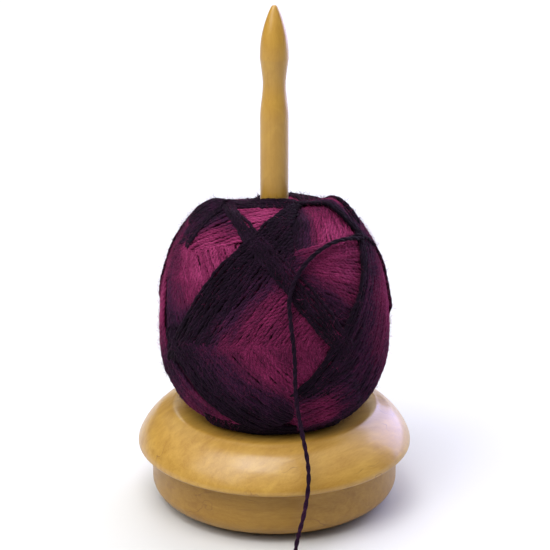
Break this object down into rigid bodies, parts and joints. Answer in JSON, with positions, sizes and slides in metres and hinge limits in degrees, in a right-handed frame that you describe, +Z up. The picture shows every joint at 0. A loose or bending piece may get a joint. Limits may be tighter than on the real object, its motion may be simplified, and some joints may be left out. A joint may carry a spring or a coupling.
{
  "type": "revolving yarn holder",
  "caption": "Turned-wood yarn holder: a spindle on a ball-bearing turntable, with a wound ball of yarn and its free end.",
  "frame": {"origin": "centre of the base at table level, under the spindle's axis", "axes": "+Z up along the spindle; -Y towards the side where the yarn's free end hangs"},
  "size_m": [0.127, 0.1975, 0.2325],
  "materials": {
    "wood": "satin clear lacquer over fine-grained maple",
    "zinc_plate": "bright zinc plated pressed sheet",
    "retainer_steel": "plain pressed sheet with a film of grease",
    "bearing_steel": "polished",
    "screw_steel": "zinc plated",
    "foot_rubber": "matt",
    "yarn": "soft two-ply wool, dark purple shading to magenta"
  },
  "bodies": {
    "base": {"base_turning": "wood", "bearing_lower_plate": "zinc_plate", "lower_plate_screws": "screw_steel", "rubber_foot_1": "foot_rubber", "rubber_foot_2": "foot_rubber", "rubber_foot_3": "foot_rubber", "rubber_foot_4": "foot_rubber"},
    "ball_ring": {"ball_retainer": "retainer_steel", "bearing_balls": "bearing_steel"},
    "turntable": {"turntable_turning": "wood", "bearing_upper_plate": "zinc_plate", "upper_plate_screws": "screw_steel", "spindle": "wood", "spindle_washer": "screw_steel", "spindle_screw": "screw_steel"},
    "yarn": {"yarn_ball": "yarn", "yarn_tail": "yarn"}
  },
  "joints": [
    {"name": "turntable_spin", "type": "hinge", "parent": "base", "child": "turntable", "pos_m": [0, 0, 0.026], "axis": [0, 0, 1], "continuous": true},
    {"name": "ball_ring_spin", "type": "hinge", "parent": "base", "child": "ball_ring", "pos_m": [0, 0, 0.026], "axis": [0, 0, 1], "continuous": true},
    {"name": "yarn_lift", "type": "slide", "parent": "turntable", "child": "yarn", "axis": [0, 0, 1], "range_m": [0, 0.195]}
  ],
  "couplings": [
    {"joint": "ball_ring_spin", "follows": "turntable_spin", "ratio": 0.5}
  ]
}
